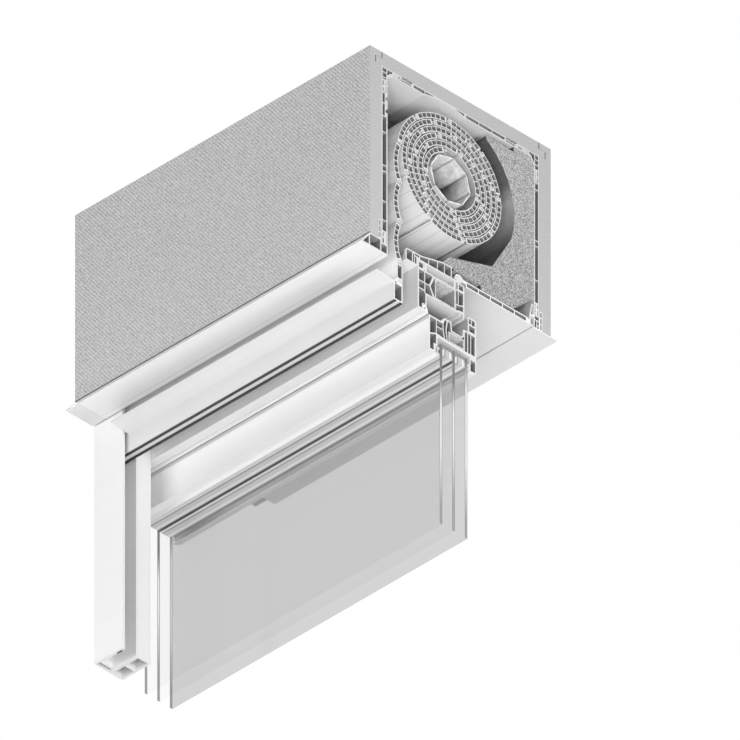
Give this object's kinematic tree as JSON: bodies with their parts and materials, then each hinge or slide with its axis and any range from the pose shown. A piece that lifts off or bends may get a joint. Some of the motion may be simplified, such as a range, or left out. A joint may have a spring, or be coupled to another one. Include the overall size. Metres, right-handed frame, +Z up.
{
  "type": "built-in roller-shutter box with window head",
  "caption": "Straight cut-away sample of a built-in window blind: insulated box, wound slat curtain with end bar, guide rail and glazed window head.",
  "frame": {"origin": "middle of the box's top face, under the lintel", "axes": "+X along the window towards the cut end, +Y from the facade to the room, +Z up"},
  "size_m": [0.47, 0.313, 0.604],
  "materials": {
    "plaster_panel": "fine-grained plaster base",
    "white_upvc": "satin extruded",
    "foam": "moulded bead foam",
    "seal_grey": "soft matt",
    "seal_black": "soft matt",
    "steel": "zinc-coated",
    "screws": "zinc-coated",
    "cap_plastic": "moulded",
    "motor_case": "satin",
    "wheel_plastic": "moulded",
    "slat_plastic": "satin extruded",
    "end_bar_aluminium": "light powder coat",
    "glass": "float glass",
    "spacer": "mill finish"
  },
  "bodies": {
    "box": {"front_shell": "plaster_panel", "top_shell": "plaster_panel", "rear_shell": "plaster_panel", "front_wall_profile": "white_upvc", "top_wall_profile": "white_upvc", "rear_wall_profile": "white_upvc", "corner_profile_front_top": "white_upvc", "corner_profile_rear_top": "white_upvc", "corner_profile_rear_bottom": "white_upvc", "plaster_nosing": "white_upvc", "base_adapter": "white_upvc", "frame_head": "white_upvc", "guide_rail": "white_upvc", "rail_spacer": "white_upvc", "insulation_block": "foam", "lip_seal": "seal_grey", "frame_gasket": "seal_grey", "rail_brushes": "seal_black", "frame_reinforcement": "steel", "motor_bracket": "steel", "frame_hinge": "steel", "hinge_pin": "steel", "adapter_screws": "screws", "end_cap_screws": "screws", "end_cap": "cap_plastic", "motor": "motor_case"},
    "roller": {"octagon_shaft": "steel", "shaft_crown": "wheel_plastic", "drive_wheel": "wheel_plastic", "suspension_straps": "steel", "rolled_slats_1": "slat_plastic", "rolled_slats_2": "slat_plastic", "rolled_slats_3": "slat_plastic", "rolled_slats_4": "slat_plastic"},
    "leading_slat": {"leading_slat": "slat_plastic"},
    "curtain": {"hanging_slats": "slat_plastic", "end_bar_slat": "slat_plastic", "end_bar": "end_bar_aluminium", "end_bar_seals": "seal_black"},
    "cover": {"inspection_cover": "white_upvc"},
    "sash": {"sash_head": "white_upvc", "sash_reinforcement": "steel", "overlap_gasket": "seal_grey", "glass_outer": "glass", "glass_middle": "glass", "glass_inner": "glass", "pane_spacers": "spacer", "edge_seal": "seal_black", "glazing_bead": "white_upvc", "glazing_gasket_outer": "seal_grey", "glazing_gasket_inner": "seal_grey", "stay_hinge": "steel"}
  },
  "joints": [
    {"name": "roller_turn", "type": "hinge", "parent": "box", "child": "roller", "pos_m": [0, -0.01589, -0.122], "axis": [1, 0, 0], "range_deg": [0, 39.58]},
    {"name": "leading_slat_link", "type": "hinge", "parent": "roller", "child": "leading_slat", "pos_m": [0, -0.06966, -0.06199], "axis": [1, 0, 0], "range_deg": [-11.39, 0]},
    {"name": "curtain_drop", "type": "slide", "parent": "box", "child": "curtain", "axis": [0, 0, -1], "range_m": [0, 0.0551]},
    {"name": "cover_swing", "type": "hinge", "parent": "box", "child": "cover", "pos_m": [0, -0.002, -0.253], "axis": [1, 0, 0], "range_deg": [-18, 0]},
    {"name": "sash_turn", "type": "hinge", "parent": "box", "child": "sash", "pos_m": [-0.2285, 0.031, -0.305], "axis": [0, 0, 1], "range_deg": [0, 90]}
  ],
  "couplings": [
    {"joint": "leading_slat_link", "follows": "roller_turn", "ratio": -0.28654},
    {"joint": "curtain_drop", "follows": "roller_turn", "m_per_rad": 0.079616}
  ]
}
